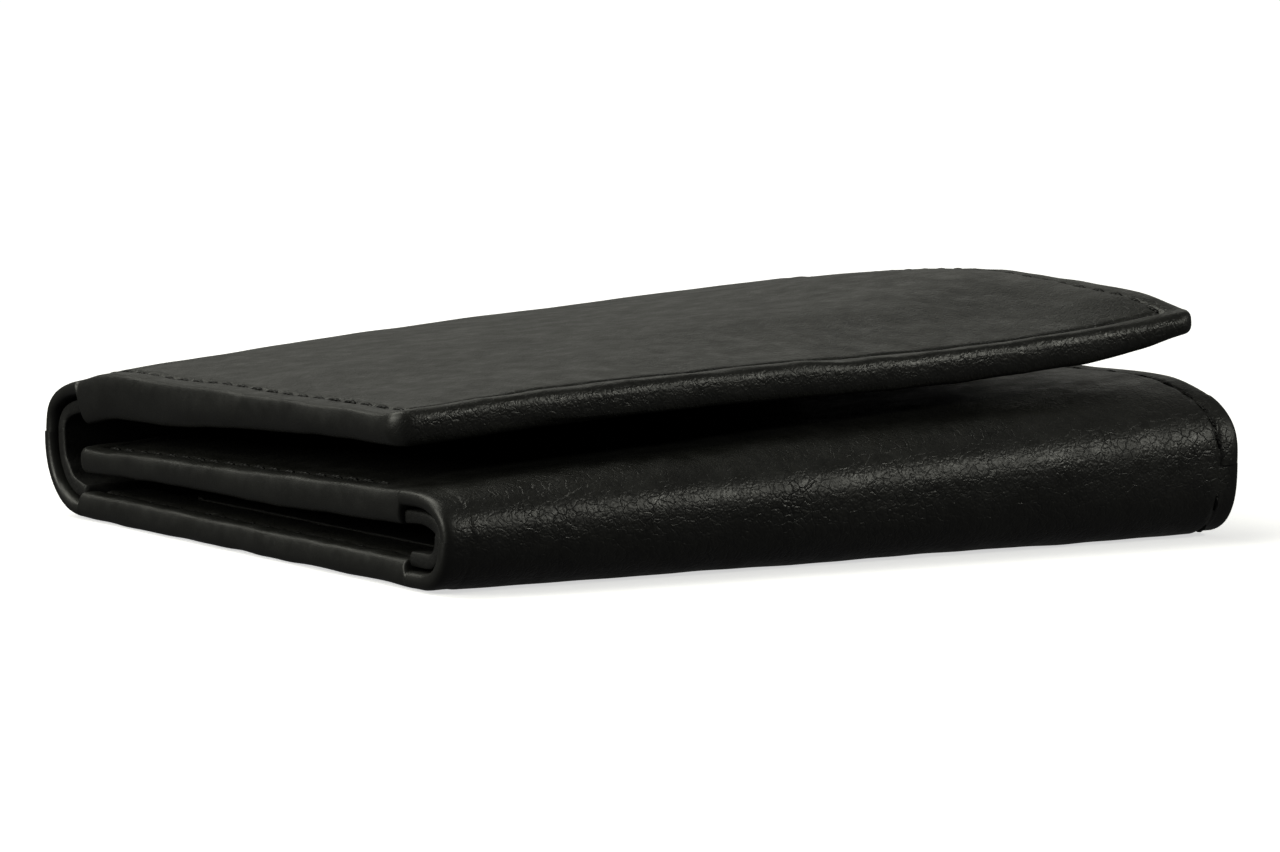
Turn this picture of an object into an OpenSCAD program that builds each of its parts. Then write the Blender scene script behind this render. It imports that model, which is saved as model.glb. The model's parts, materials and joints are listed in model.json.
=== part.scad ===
// Tri-fold leather card holder, closed and empty, lying on its centre panel.
// X runs along the folds, -Y is the rounded front fold, +Y is the spine, Z is up.
// The centre panel lies on the table. The inner panel folds in over it from the front
// fold, and the flap folds over both from the spine. Each fold is a strip between two
// creases. The creases climb towards +X by half the tilt of the panel above them, so
// that a panel swung right over lies level and square again.

/* [Overall] */
// Length along the folds
length = 106.6; // [100:0.2:114]
// Distance from the centre line to the front creases
front_y = 43.4; // [42:0.2:45]
// Distance from the centre line to the rear creases
rear_y = 43.2; // [42:0.2:45]
// Height of the front fold at the -X end
fold_low = 10.8; // [10.4:0.1:11.4]
// Height of the front fold at the +X end
fold_high = 17.6; // [17:0.1:18]
// Height of the spine at the -X end
spine_low = 16.9; // [16.7:0.1:17.4]
// Height of the spine at the +X end
spine_high = 24.6; // [24.1:0.1:25.3]
// How far the inner panel dips towards the spine, degrees
inner_pitch = 1.8; // [1.4:0.1:1.9]
// How far the flap rises towards its free edge, degrees
flap_pitch = 0.8; // [0.6:0.1:1.2]

/* [Panels] */
// Inner panel, from its crease to its free edge
inner_depth = 82.4; // [80:0.2:82.8]
// Flap, from its crease to its free edge
flap_depth = 78.7; // [76:0.1:81]
// Height of each crease above the panel's outer face at the -X end
crease_low = 2.4; // [2.2:0.1:2.6]
// Outer radius of a bend
bend_r = 5; // [4.6:0.1:5.4]
// Radius of a free corner, seen from above
corner_r = 2.5; // [1.5:0.5:4]
// Outward bulge of the front fold
fold_bulge = 1.1; // [0.8:0.1:1.3]
// Outward bulge of the spine
spine_bulge = 1.3; // [0.9:0.1:1.5]
// Clearance at each crease
crease_gap = 0.3; // [0.3:0.05:0.4]

/* [Layers] */
// Outer leather
leather_t = 1.3; // [1.2:0.05:1.4]
// Stiffener board, and the reinforcing tape in the folds
board_t = 0.5; // [0.4:0.05:0.6]
// Lining under the pockets
lining_t = 0.3; // [0.25:0.05:0.35]
// Lining where it crosses a fold
fold_lining_t = 0.9; // [0.8:0.05:1]
// Fabric behind each pocket
liner_t = 0.2; // [0.15:0.05:0.25]
// Leather front of each pocket
ply_t = 0.4; // [0.35:0.05:0.45]
// Turned-in edge of the outer leather
hem_t = 0.4; // [0.35:0.05:0.5]
// Width of the turned-in edge
hem_w = 9; // [7.5:0.5:9]
// Step between the mouths of the two pockets
stagger = 6; // [4:0.5:8]

/* [Stitching] */
// Distance of the seam from the edge
seam_inset = 4; // [3.5:0.1:4.5]
// Distance from one stitch to the next
stitch_pitch = 3.4; // [3.2:0.1:4]
// Length of a stitch
stitch_len = 2.5; // [2:0.1:2.8]
// Width of the thread
thread_w = 0.7; // [0.5:0.05:0.8]
// Depth of the groove that the thread lies in
groove_d = 0.35; // [0.3:0.05:0.4]

/* [Hidden] */
$fn = 48;

// Height of each layer above a panel's outer face
z_board = leather_t;
z_lining = z_board + board_t;
z_back_liner = z_lining + lining_t;
z_back_ply = z_back_liner + liner_t;
z_front_liner = z_back_ply + ply_t;
z_front_ply = z_front_liner + liner_t;
z_hem = z_front_ply + ply_t;
panel_t = z_hem + hem_t;

half_x = length / 2;
rim = panel_t / 2;                  // wrapped edge outside the layers
seam_x = half_x - seam_inset;
groove_w = thread_w + 0.2;
thread_h = groove_d - 0.05;
// A bend leaves the flat of a panel this far inside its crease
bend_in = sqrt(pow(bend_r, 2) - pow(bend_r - crease_low, 2));
centre_depth = front_y + rear_y;

// Tilts along the folds, and the slope of the creases
inner_tilt = atan((fold_high - fold_low) / length);
flap_tilt = atan((spine_high - spine_low) / length);
front_slope = inner_tilt / 2;
rear_slope = flap_tilt / 2;
front_mid = crease_low + half_x * tan(front_slope);
rear_mid = crease_low + half_x * tan(rear_slope);
fold_mid = (fold_low + fold_high) / 2;
spine_mid = (spine_low + spine_high) / 2;
// Width of each strip between its creases
fold_w = (fold_mid - 2 * front_mid) * cos(front_slope);
spine_w = (spine_mid - 2 * rear_mid) * cos(rear_slope);

leather = [0.16, 0.16, 0.155];
lining = [0.12, 0.12, 0.12];
fabric = [0.20, 0.20, 0.21];
board = [0.45, 0.42, 0.38];
thread = [0.08, 0.08, 0.08];

// ---- Placing ----

// Extrude an outline in (Y, Z) along X, centred
module along_x(len) { rotate([90, 0, 90]) linear_extrude(len, center = true) children(); }

// Turn about a line through p along v
module turn(p, a, v) { translate(p) rotate(a = a, v = v) translate(-p) children(); }

// A panel is drawn outer face down, with its crease along Y = 0 and its free edge at +Y
module place_flap() {
  axis_v = [cos(rear_slope), 0, sin(rear_slope)];
  axis_p = [rear_mid * sin(flap_tilt), rear_y, spine_mid - rear_mid * cos(flap_tilt)];
  turn(axis_p, -flap_pitch, axis_v)
    translate([0, rear_y, spine_mid]) rotate([0, -flap_tilt, 0]) rotate([180, 0, 0]) children();
}

module place_inner() {
  axis_v = [cos(front_slope), 0, sin(front_slope)];
  axis_p = [front_mid * sin(inner_tilt), -front_y, fold_mid - front_mid * cos(inner_tilt)];
  turn(axis_p, -inner_pitch, axis_v)
    translate([0, -front_y, fold_mid]) rotate([0, -inner_tilt, 0]) rotate([180, 0, 0])
      mirror([0, 1, 0]) children();
}

module place_rear() { translate([0, rear_y, 0]) mirror([0, 1, 0]) children(); }
module place_front() { translate([0, -front_y, 0]) children(); }

// Keep what lies below a crease
module below_crease(mid, slope) {
  intersection() {
    children();
    translate([0, 0, mid - crease_gap / 2]) rotate([0, -slope, 0])
      translate([-length, -200, -50]) cube([2 * length, 400, 50]);
  }
}

// ---- Bends ----

// Everything inside a bend that starts o below its outer face: a wall whose foot is cut round
module bend_fill(o, top) {
  difference() {
    translate([o, 0]) square([bend_in - o, top]);
    difference() {
      translate([-2, -2]) square([bend_in + 3, bend_r + 2]);
      translate([bend_in, bend_r]) circle(bend_r - o);
    }
  }
}

// The band of a bend between depths o and i below its outer face
module bend_band(o, i, top = 12) {
  difference() { bend_fill(o, top); bend_fill(i, top + 1); }
}

// Cut a bend square at both ends of the holder, on a panel tilted by tilt
module trim_ends(len, tilt) {
  intersection() {
    children();
    rotate([0, -tilt, 0]) translate([-len / 2, -1, -3]) cube([len, bend_in + 2, 20]);
  }
}

module bend_shell(mid, slope, tilt) {
  below_crease(mid, slope) trim_ends(length, tilt) difference() {
    along_x(length + 4) bend_band(0, leather_t);
    for (s = [-1, 1]) translate([s * seam_x, 0, 0]) along_x(groove_w) bend_band(-0.01, groove_d);
  }
}

module bend_lining(mid, slope, tilt) {
  below_crease(mid, slope) trim_ends(length - 1, tilt)
    along_x(length + 4) bend_band(z_lining, z_lining + fold_lining_t);
}

// One stitch in each seam where it rounds the bend
module bend_stitches() {
  for (s = [-1, 1]) translate([s * seam_x, 0, 0]) along_x(thread_w) intersection() {
    translate([bend_in, bend_r]) difference() {
      circle(bend_r - groove_d + thread_h);
      circle(bend_r - groove_d);
    }
    translate([bend_in, bend_r]) rotate(-90)
      polygon([[0, 0], [8, -8 * tan(42)], [8, -8 * tan(14)]]);
  }
}

// ---- Flat part of a panel ----

// From y0 to y1, with a wrapped round edge at y1 when it is free
module slab(y0, y1, free) {
  intersection() {
    along_x(length) {
      translate([y0, 0]) square([y1 - y0 - (free ? rim : 0), panel_t]);
      if (free) translate([y1 - rim, rim]) circle(rim);
    }
    translate([0, y1 + 1, 0]) rotate([90, 0, 0]) linear_extrude(y1 - y0 + 2) {
      translate([-half_x + rim, 0]) square([length - 2 * rim, panel_t]);
      for (s = [-1, 1]) translate([s * (half_x - rim), rim]) circle(rim);
    }
    if (free) linear_extrude(panel_t) {
      translate([-half_x, y0 - 1]) square([length, y1 - y0 + 1 - corner_r]);
      translate([-half_x + corner_r, y0]) square([length - 2 * corner_r, y1 - y0]);
      for (s = [-1, 1]) translate([s * (half_x - corner_r), y1 - corner_r]) circle(corner_r);
    }
  }
}

// Outer leather: base, rim turned up round the layers, hem turned in over them, seam groove
module flat_shell(y0, y1, free) {
  e = free ? 1 : 0;
  difference() {
    slab(y0, y1, free);
    translate([-half_x + rim, y0 - 1, z_board])
      cube([length - 2 * rim, y1 - y0 + 1 + (free ? -rim : 1), z_hem - z_board]);
    translate([-half_x + hem_w, y0 - 1, z_hem - 0.1])
      cube([length - 2 * hem_w, y1 - y0 + 1 + (free ? -hem_w : 1), 2]);
    for (s = [-1, 1]) translate([s * seam_x - groove_w / 2, y0 - 1, -1])
      cube([groove_w, y1 - y0 + 1 + (free ? groove_w / 2 - seam_inset : 1), groove_d + 1]);
    if (free) translate([-seam_x, y1 - seam_inset - groove_w / 2, -1])
      cube([2 * seam_x, groove_w, groove_d + 1]);
  }
}

// One flat layer inside the rim, from its mouth edge to the far edge
module layer(y0, y1, free, z, t) {
  translate([-half_x + rim, y0, z]) cube([length - 2 * rim, y1 - y0 - (free ? rim : 0), t]);
}

// A stitch along X, lying in its groove
module stitch() {
  translate([0, 0, groove_d - thread_h]) linear_extrude(thread_h) {
    square([stitch_len - thread_w, thread_w], center = true);
    for (s = [-1, 1]) translate([s * (stitch_len - thread_w) / 2, 0]) circle(thread_w / 2, $fn = 16);
  }
}

// A row of stitches along X, centred
module stitch_row(len) {
  n = floor(len / stitch_pitch);
  for (i = [0:n]) translate([(i - n / 2) * stitch_pitch, 0, 0]) stitch();
}

module flat_stitches(y0, y1, free) {
  run = y1 - y0 - (free ? seam_inset + 2 : 0) - stitch_len - 1;
  for (s = [-1, 1]) translate([s * seam_x, y0 + 0.5 + stitch_len / 2 + run / 2, 0])
    rotate(90) stitch_row(run);
  if (free) translate([0, y1 - seam_inset, 0]) stitch_row(2 * seam_x - 4);
}

// ---- Panels with one crease and a free edge ----

module panel_shell(depth, mid, tilt) color(leather) {
  bend_shell(mid, tilt / 2, tilt);
  flat_shell(bend_in, depth, true);
}
module panel_board(depth) color(board) layer(bend_in, depth, true, z_board, board_t);
module panel_lining(depth, mid, tilt) color(lining) {
  bend_lining(mid, tilt / 2, tilt);
  layer(bend_in, depth, true, z_lining, lining_t);
}
module panel_back_liner(depth) color(fabric)
  layer(bend_in + stagger, depth, true, z_back_liner, liner_t);
module panel_back_pocket(depth) color(leather)
  layer(bend_in + stagger, depth, true, z_back_ply, ply_t);
module panel_front_liner(depth) color(fabric)
  layer(bend_in + 2 * stagger, depth, true, z_front_liner, liner_t);
module panel_front_pocket(depth) color(leather)
  layer(bend_in + 2 * stagger, depth, true, z_front_ply, ply_t);
module panel_stitching(depth) color(thread) {
  bend_stitches();
  flat_stitches(bend_in, depth, true);
}

// ---- Centre panel, with a crease at both edges ----

// The flat part runs just into the front bend, so that the two are one piece
centre_end = centre_depth - bend_in + 0.01;

module centre_layer(mouth, z, t) place_rear() layer(bend_in + mouth, centre_end, false, z, t);

module centre_shell() color(leather) {
  place_rear() { bend_shell(rear_mid, rear_slope, 0); flat_shell(bend_in, centre_end, false); }
  place_front() bend_shell(front_mid, front_slope, 0);
}
module centre_board() color(board) centre_layer(0, z_board, board_t);
module centre_lining() color(lining) {
  place_rear() bend_lining(rear_mid, rear_slope, 0);
  place_front() bend_lining(front_mid, front_slope, 0);
  centre_layer(0, z_lining, lining_t);
}
module centre_back_liner() color(fabric) centre_layer(stagger, z_back_liner, liner_t);
module centre_back_pocket() color(leather) centre_layer(stagger, z_back_ply, ply_t);
module centre_front_liner() color(fabric) centre_layer(2 * stagger, z_front_liner, liner_t);
module centre_front_pocket() color(leather) centre_layer(2 * stagger, z_front_ply, ply_t);
module centre_stitching() color(thread) {
  place_rear() { bend_stitches(); flat_stitches(bend_in, centre_end, false); }
  place_front() bend_stitches();
}

// ---- Inner panel and flap ----

module inner_shell() place_inner() panel_shell(inner_depth, front_mid, inner_tilt);
module inner_board() place_inner() panel_board(inner_depth);
module inner_lining() place_inner() panel_lining(inner_depth, front_mid, inner_tilt);
module inner_back_liner() place_inner() panel_back_liner(inner_depth);
module inner_back_pocket() place_inner() panel_back_pocket(inner_depth);
module inner_front_liner() place_inner() panel_front_liner(inner_depth);
module inner_front_pocket() place_inner() panel_front_pocket(inner_depth);
module inner_stitching() place_inner() panel_stitching(inner_depth);

module flap_shell() place_flap() panel_shell(flap_depth, rear_mid, flap_tilt);
module flap_board() place_flap() panel_board(flap_depth);
module flap_lining() place_flap() panel_lining(flap_depth, rear_mid, flap_tilt);
module flap_back_liner() place_flap() panel_back_liner(flap_depth);
module flap_back_pocket() place_flap() panel_back_pocket(flap_depth);
module flap_front_liner() place_flap() panel_front_liner(flap_depth);
module flap_front_pocket() place_flap() panel_front_pocket(flap_depth);
module flap_stitching() place_flap() panel_stitching(flap_depth);

// ---- Strips between the creases ----

// Band of a strip of width w and bulge b, between depths o and i below its outer face
module strip_band(w, b, o, i) {
  r = (w * w / 4 + b * b) / (2 * b);
  intersection() {
    translate([r - b, w / 2]) difference() { circle(r - o); circle(r - i); }
    translate([-b - 1, crease_gap / 2]) square([b + 5, w - crease_gap]);
  }
}

// A strip lies along its creases, cut square at both ends of the holder
module strip(len, mid, slope) {
  intersection() {
    translate([0, 0, mid]) rotate([0, -slope, 0]) along_x(length + 20) children();
    translate([-len / 2, -20, -5]) cube([len, 60, 60]);
  }
}

module strip_shell(w, b, mid, slope) color(leather) difference() {
  strip(length, mid, slope) strip_band(w, b, 0, leather_t);
  for (s = [-1, 1]) translate([s * seam_x, 0, mid + s * seam_x * tan(slope)]) rotate([0, -slope, 0])
    along_x(groove_w) strip_band(w, b, -0.1, groove_d);
}
module strip_tape(w, b, mid, slope) color(board)
  strip(length - 12, mid, slope) strip_band(w, b, leather_t, z_lining);
module strip_lining(w, b, mid, slope) color(lining)
  strip(length - 1, mid, slope) strip_band(w, b, z_lining, z_lining + fold_lining_t);

// n stitches in each seam, spread over the strip
module strip_stitches(w, b, mid, slope, n) color(thread)
  for (s = [-1, 1]) translate([s * seam_x, 0, mid + s * seam_x * tan(slope)]) rotate([0, -slope, 0])
    along_x(thread_w) for (k = [0:n - 1]) intersection() {
      strip_band(w, b, groove_d - thread_h, groove_d);
      translate([-3, (k + 0.5) * w / n - stitch_len / 2]) square([6, stitch_len]);
    }

module fold_shell() place_front() strip_shell(fold_w, fold_bulge, front_mid, front_slope);
module fold_tape() place_front() strip_tape(fold_w, fold_bulge, front_mid, front_slope);
module fold_lining() place_front() strip_lining(fold_w, fold_bulge, front_mid, front_slope);
module fold_stitching() place_front() strip_stitches(fold_w, fold_bulge, front_mid, front_slope, 2);
module spine_shell() place_rear() strip_shell(spine_w, spine_bulge, rear_mid, rear_slope);
module spine_tape() place_rear() strip_tape(spine_w, spine_bulge, rear_mid, rear_slope);
module spine_lining() place_rear() strip_lining(spine_w, spine_bulge, rear_mid, rear_slope);
module spine_stitching() place_rear() strip_stitches(spine_w, spine_bulge, rear_mid, rear_slope, 4);

centre_shell();
centre_board();
centre_lining();
centre_back_liner();
centre_back_pocket();
centre_front_liner();
centre_front_pocket();
centre_stitching();
inner_shell();
inner_board();
inner_lining();
inner_back_liner();
inner_back_pocket();
inner_front_liner();
inner_front_pocket();
inner_stitching();
flap_shell();
flap_board();
flap_lining();
flap_back_liner();
flap_back_pocket();
flap_front_liner();
flap_front_pocket();
flap_stitching();
fold_shell();
fold_tape();
fold_lining();
fold_stitching();
spine_shell();
spine_tape();
spine_lining();
spine_stitching();
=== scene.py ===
"""Looks of a tri-fold leather card holder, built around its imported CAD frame.

The outer leather, the lining, the pockets and the thread are all laid on one surface, the outer
face of the wrap: a cross-section that is carried along the folds (X) and changes as it goes,
because the folded stack is thicker at its +X end. Lengths are in millimetres until a mesh is made.
"""
import json
import logging
import math
from dataclasses import dataclass, field
from enum import Enum

import bmesh
import bpy
import numpy as np
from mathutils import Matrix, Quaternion, Vector


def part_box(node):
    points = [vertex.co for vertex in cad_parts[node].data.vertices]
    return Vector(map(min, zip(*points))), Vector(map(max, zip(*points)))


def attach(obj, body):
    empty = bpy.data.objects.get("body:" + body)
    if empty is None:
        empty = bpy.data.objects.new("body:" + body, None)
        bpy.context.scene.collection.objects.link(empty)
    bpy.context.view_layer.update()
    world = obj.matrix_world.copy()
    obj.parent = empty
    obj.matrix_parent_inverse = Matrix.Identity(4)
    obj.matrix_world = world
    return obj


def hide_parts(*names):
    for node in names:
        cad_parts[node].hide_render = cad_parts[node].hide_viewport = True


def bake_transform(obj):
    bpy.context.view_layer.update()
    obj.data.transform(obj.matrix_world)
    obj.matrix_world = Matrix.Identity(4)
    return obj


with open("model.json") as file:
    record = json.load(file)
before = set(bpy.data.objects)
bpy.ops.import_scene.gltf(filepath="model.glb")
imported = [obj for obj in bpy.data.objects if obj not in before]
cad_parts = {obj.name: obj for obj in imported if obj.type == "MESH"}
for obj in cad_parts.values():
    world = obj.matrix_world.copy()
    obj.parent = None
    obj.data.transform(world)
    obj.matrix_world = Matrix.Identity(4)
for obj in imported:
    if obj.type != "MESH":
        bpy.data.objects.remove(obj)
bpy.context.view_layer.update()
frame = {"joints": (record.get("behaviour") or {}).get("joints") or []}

LOG = logging.getLogger("card_holder")
MM = 0.001
STITCH_PITCH = 3.4  # mm from one stitch to the next
SEAM_IN = 3.1  # mm from an edge to its seam
SEAM_WIDTH = 0.42  # mm, the scale of the seam's groove
NO_EDGE = 99.0  # mm to a free edge, where a stretch has none
RIM_POWER = 2.6  # of the superellipses that round the layers' edges
Array = np.ndarray
Socket = bpy.types.NodeSocket
Object = bpy.types.Object
Material = bpy.types.Material
Colour = tuple[float, float, float]


# ---------------- small helpers


def smooth_step(t: Array) -> Array:
    """0 below 0, 1 above 1, and 3t^2 - 2t^3 between."""
    t = np.clip(t, 0.0, 1.0)
    return t * t * (3.0 - 2.0 * t)


def ripple(u: Array, v: Array, size: float, seed: int, waves: int = 9) -> Array:
    """Seeded soft noise: a sum of sine waves of random direction, phase and nearly one length.

    Args:
        u: First coordinate, mm.
        v: Second coordinate, mm.
        size: Typical distance from one crest to the next, mm.
        seed: Which noise.
        waves: How many sine waves are summed.

    Returns:
        Values mostly within -1 and 1.
    """
    rng = np.random.default_rng(seed)
    total = np.zeros(np.broadcast(u, v).shape)
    for _ in range(waves):
        turn, phase = rng.uniform(0, 2 * math.pi, 2)
        rate = 2 * math.pi / (size * rng.uniform(0.7, 1.5))
        total += np.sin(rate * (math.cos(turn) * u + math.sin(turn) * v) + phase)
    return total / math.sqrt(waves * 1.2)


def bell(t: Array) -> Array:
    """exp(-t^2)."""
    return np.exp(-t * t)


# ---------------- the surface of the wrap


class Run(Enum):
    """The four stretches of the wrap. Each starts at a free edge or the middle of the centre
    panel and ends half-way round a fold. The value is (first words of the CAD nodes that lie
    along it, sign that makes its normal point outwards)."""

    FLAP = (("flap",), 1.0)
    INNER = (("inner",), -1.0)
    CENTRE_REAR = (("centre", "spine"), -1.0)
    CENTRE_FRONT = (("centre", "fold"), 1.0)

    @property
    def outward(self) -> float:
        """Sign of the normal."""
        return self.value[1]

    @property
    def free(self) -> bool:
        """Whether it starts at a free edge."""
        return self in (Run.FLAP, Run.INNER)

    @property
    def at_spine(self) -> bool:
        """Whether it ends in the spine, and not in the front fold."""
        return self in (Run.FLAP, Run.CENTRE_REAR)

    def nodes(self, kind: str) -> tuple[str, ...]:
        """CAD nodes of one kind along it."""
        return tuple(f"{word}_{kind}" for word in self.value[0])

    def piece(self, kind: str) -> str:
        """Name of its piece of one kind."""
        return f"{kind}_{self.name.lower()}"


@dataclass(frozen=True)
class Fold:
    """A fold's two creases: straight lines at one Y that climb along X with one slope. The mids
    are their heights where X is 0."""

    y: float
    low_mid: float
    high_mid: float
    slope: float

    def top(self, x: Array) -> Array:
        """Height of the panel above, which is as far above one crease as the floor is below
        the other."""
        return (self.low_mid + self.slope * x) + (self.high_mid + self.slope * x)


def read_fold(lower: str, upper: str) -> Fold:
    """The fold between two joints of the frame.

    Args:
        lower: Name of the joint at the lower crease.
        upper: Name of the joint at the upper crease.

    Returns:
        The fold, in millimetres.
    """
    joints = {j["name"]: j for j in frame["joints"]}
    slope = joints[lower]["axis"][2] / joints[lower]["axis"][0]
    (_, y, z_low), (x_high, _, z_high) = joints[lower]["pos_m"], joints[upper]["pos_m"]
    return Fold(y / MM, z_low / MM, z_high / MM - slope * x_high / MM, slope)


@dataclass(frozen=True)
class Wrap:
    """The outer face of the leather, from the flap's free edge to the inner panel's.

    run_end is each stretch's length, to the middle of its fold, and notch is the station where
    the hem stops short of the fold.
    """

    half_x: float
    spine: Fold
    fold: Fold
    out_y: float
    flap_edge: float
    inner_edge: float
    flat_y: float = 39.0
    flap_pitch: float = math.radians(0.8)
    inner_pitch: float = math.radians(1.8)
    run_end: dict = field(default_factory=lambda: {
        Run.FLAP: 88.0, Run.INNER: 86.0, Run.CENTRE_REAR: 50.0, Run.CENTRE_FRONT: 48.0})
    notch: dict = field(default_factory=lambda: {
        Run.FLAP: 73.2, Run.INNER: 73.7, Run.CENTRE_REAR: 37.6, Run.CENTRE_FRONT: 36.2})

    def along(self, x: Array) -> Array:
        """0 at the -X end and 1 at the +X end."""
        return (x + self.half_x) / (2 * self.half_x)

    def flap_front(self, x: Array) -> Array:
        """Y of the flap's free edge, which isn't quite square with the folds."""
        skew = 0.9 - 3.2 * self.along(x) - 1.3 * bell((x - self.half_x) / 9)
        return self.flap_edge + skew + 0.12 * ripple(x, 0 * x, 31, 5)

    def flap_z(self, x: Array, y: Array) -> Array:
        """Height of the flap's outer face.

        A plane, plus a crown that dies away at the edges, plus a rise behind the middle at the
        +X end, less the droop of the far front corner and the sag of the front edge.
        """
        plane = self.spine.top(x) + (self.spine.y - y) * math.tan(self.flap_pitch)
        across = 1 - np.clip(np.abs((y - 3) / 38), 0, 1) ** 2.4
        crown = 1.5 * (1 - np.clip(np.abs(x / self.half_x), 0, 1) ** 2.6) * across
        rise = 1.9 * smooth_step((x - 5) / 48) * bell((y - 12) / 24) * across
        front = y - self.flap_front(x)
        droop = 1.9 * bell((x - self.half_x) / 12) * bell(front / 6.5)
        end_only = 1 - (1 - bell((x - self.half_x) / 10)) * smooth_step((-5 - y) / 20)
        lift = 0.45 + 1.9 * smooth_step(self.along(x)) ** 2 * smooth_step((30 - y) / 50) * end_only
        sag = 1.5 * bell((x - 24) / 30) * bell(front / 13)
        swell = 0.12 * ripple(x, y, 26, 11) * np.clip(across * 1.5, 0, 1)
        knee = 1.45 * bell((x + self.half_x) / 24) * smooth_step((y - 30) / 13)
        return plane + lift + crown + rise - droop - sag - knee + swell

    def inner_z(self, x: Array, y: Array) -> Array:
        """Height of the inner panel's outer face, away from the front fold."""
        plane = self.fold.top(x) - (y - self.fold.y) * math.tan(self.inner_pitch)
        swell = 0.12 * ripple(x, y, 24, 3) * bell((y + 2) / 24)
        return plane + 1.2 * smooth_step(self.along(x)) ** 2 + swell

    def rear_out(self, x: Array) -> Array:
        """How far the spine stands out at its middle."""
        return self.out_y + 2.3 - 1.1 * self.along(x)

    def front_out(self, x: Array) -> Array:
        """How far the front fold stands out at its middle, which grows to +X."""
        return self.out_y + 0.1 + 2.3 * self.along(x)

    def shoulder(self, x: Array) -> Array:
        """How far in from the front the inner panel starts to fall away, which grows to +X."""
        return 7.5 + 17.5 * smooth_step(self.along(x)) ** 1.1

    def section(self, run: Run, x: Array) -> tuple:
        """A run's section at x: a flat part, then a turn.

        Args:
            run: Which stretch.
            x: Place along the folds.

        Returns:
            Y of the start, the sign of the way along Y, the flat part's length, and the turn's
            width, power and height at its end.
        """
        if run is Run.FLAP:
            start = self.flap_front(x)
            return start, 1, self.flat_y - start, self.rear_out(x) - self.flat_y, 2.35, self.rear_middle(x)
        if run is Run.CENTRE_REAR:
            flat = np.full_like(x, self.flat_y - 1.6)
            return 0.0, 1, flat, self.rear_out(x) - flat, 2.15, self.rear_middle(x)
        squarer = 0.5 * self.along(x)
        if run is Run.INNER:
            width = self.shoulder(x)
            flat = self.inner_edge + self.front_out(x) - width
            return self.inner_edge, -1, flat, width, 2.25 + squarer, self.front_middle(x)
        flat = self.flat_y + 1.3 * self.along(x)
        return 0.0, -1, flat, self.front_out(x) - flat, 2.15 + squarer, self.front_middle(x)

    def point(self, run: Run, x: Array, s: Array) -> Array:
        """Points of the outer face.

        On the flat part Y moves with s. Round the fold the section is a quarter of a
        superellipse: with a from 0 to a quarter turn, the way out is w sin(a)^(2/n) and the
        fall is h (1 - cos(a)^(2/n)).

        Args:
            run: Which stretch.
            x: Place along the folds.
            s: Distance along the stretch from where it starts.

        Returns:
            An array of shape (..., 3).
        """
        x, s = np.broadcast_arrays(np.asarray(x, float), np.asarray(s, float))
        start, way, flat, width, power, middle = self.section(run, x)
        turn = np.clip((s - flat) / (self.run_end[run] - flat), 0, 1) * math.pi / 2
        y = start + way * (np.minimum(s, flat) + width * np.sin(turn) ** (2 / power))
        if run is Run.FLAP:
            z, fall = self.flap_z(x, y), self.flap_z(x, np.full_like(x, self.out_y)) - middle
        elif run is Run.INNER:
            z, fall = self.inner_z(x, y), self.inner_z(x, -self.front_out(x)) - middle
        else:
            z, fall = 0.0, -middle
        return np.stack([x, y, z - fall * (1 - np.cos(turn) ** (2 / power))], -1)

    def front_middle(self, x: Array) -> Array:
        """Height at which the front fold stands out furthest."""
        return 5.7 + 2.9 * self.along(x)

    def rear_middle(self, x: Array) -> Array:
        """Height at which the spine stands out furthest."""
        return self.spine.top(x) * (0.57 - 0.05 * self.along(x))

    def frame_at(self, run: Run, x: Array, s: Array) -> tuple[Array, Array, Array]:
        """Points of the outer face, its outward normals and its directions along s.

        Args:
            run: Which stretch.
            x: Place along the folds.
            s: Distance along the stretch.

        Returns:
            Points, unit normals and unit directions along s, each of shape (..., 3).
        """
        step = 0.04
        x, s = np.broadcast_arrays(np.asarray(x, float), np.asarray(s, float))
        inside = np.clip(s, step, self.run_end[run] - step)
        by_x = self.point(run, x + step, inside) - self.point(run, x - step, inside)
        by_s = self.point(run, x, inside + step) - self.point(run, x, inside - step)
        across = np.cross(by_x, by_s) * run.outward
        across /= np.linalg.norm(across, axis=-1, keepdims=True)
        by_s /= np.linalg.norm(by_s, axis=-1, keepdims=True)
        return self.point(run, x, s), across, by_s

    def inward(self, run: Run, x: Array, s: Array, depth: Array) -> Array:
        """Points that lie depth below the outer face."""
        at, normal, _ = self.frame_at(run, x, s)
        return at - normal * np.asarray(depth, float)[..., None]


def read_wrap() -> Wrap:
    """The wrap, with its sizes taken from the frame's boxes and joints."""
    centre_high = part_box("centre_shell")[1]
    return Wrap(
        half_x=centre_high.x / MM,
        spine=read_fold("spine_lower", "spine_upper"),
        fold=read_fold("fold_lower", "fold_upper"),
        out_y=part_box("spine_shell")[1].y / MM,
        flap_edge=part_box("flap_shell")[0].y / MM,
        inner_edge=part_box("inner_shell")[1].y / MM,
    )


# ---------------- meshes


def make_piece(name: str, points: Array, faces: list) -> Object:
    """A closed, smooth-shaded mesh object.

    Args:
        name: Name of the piece.
        points: Array of shape (n, 3), mm.
        faces: Faces as sequences of indices.

    Returns:
        The new object, linked to the scene.
    """
    mesh = bpy.data.meshes.new(name)
    mesh.from_pydata((points * MM).tolist(), [], faces)
    shape = bmesh.new()
    shape.from_mesh(mesh)
    loose = [v for v in shape.verts if not v.link_faces]
    bmesh.ops.delete(shape, geom=loose, context="VERTS")
    bmesh.ops.recalc_face_normals(shape, faces=shape.faces)
    shape.to_mesh(mesh)
    shape.free()
    mesh.polygons.foreach_set("use_smooth", [True] * len(mesh.polygons))
    piece = bpy.data.objects.new(name, mesh)
    bpy.context.scene.collection.objects.link(piece)
    return piece


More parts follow.
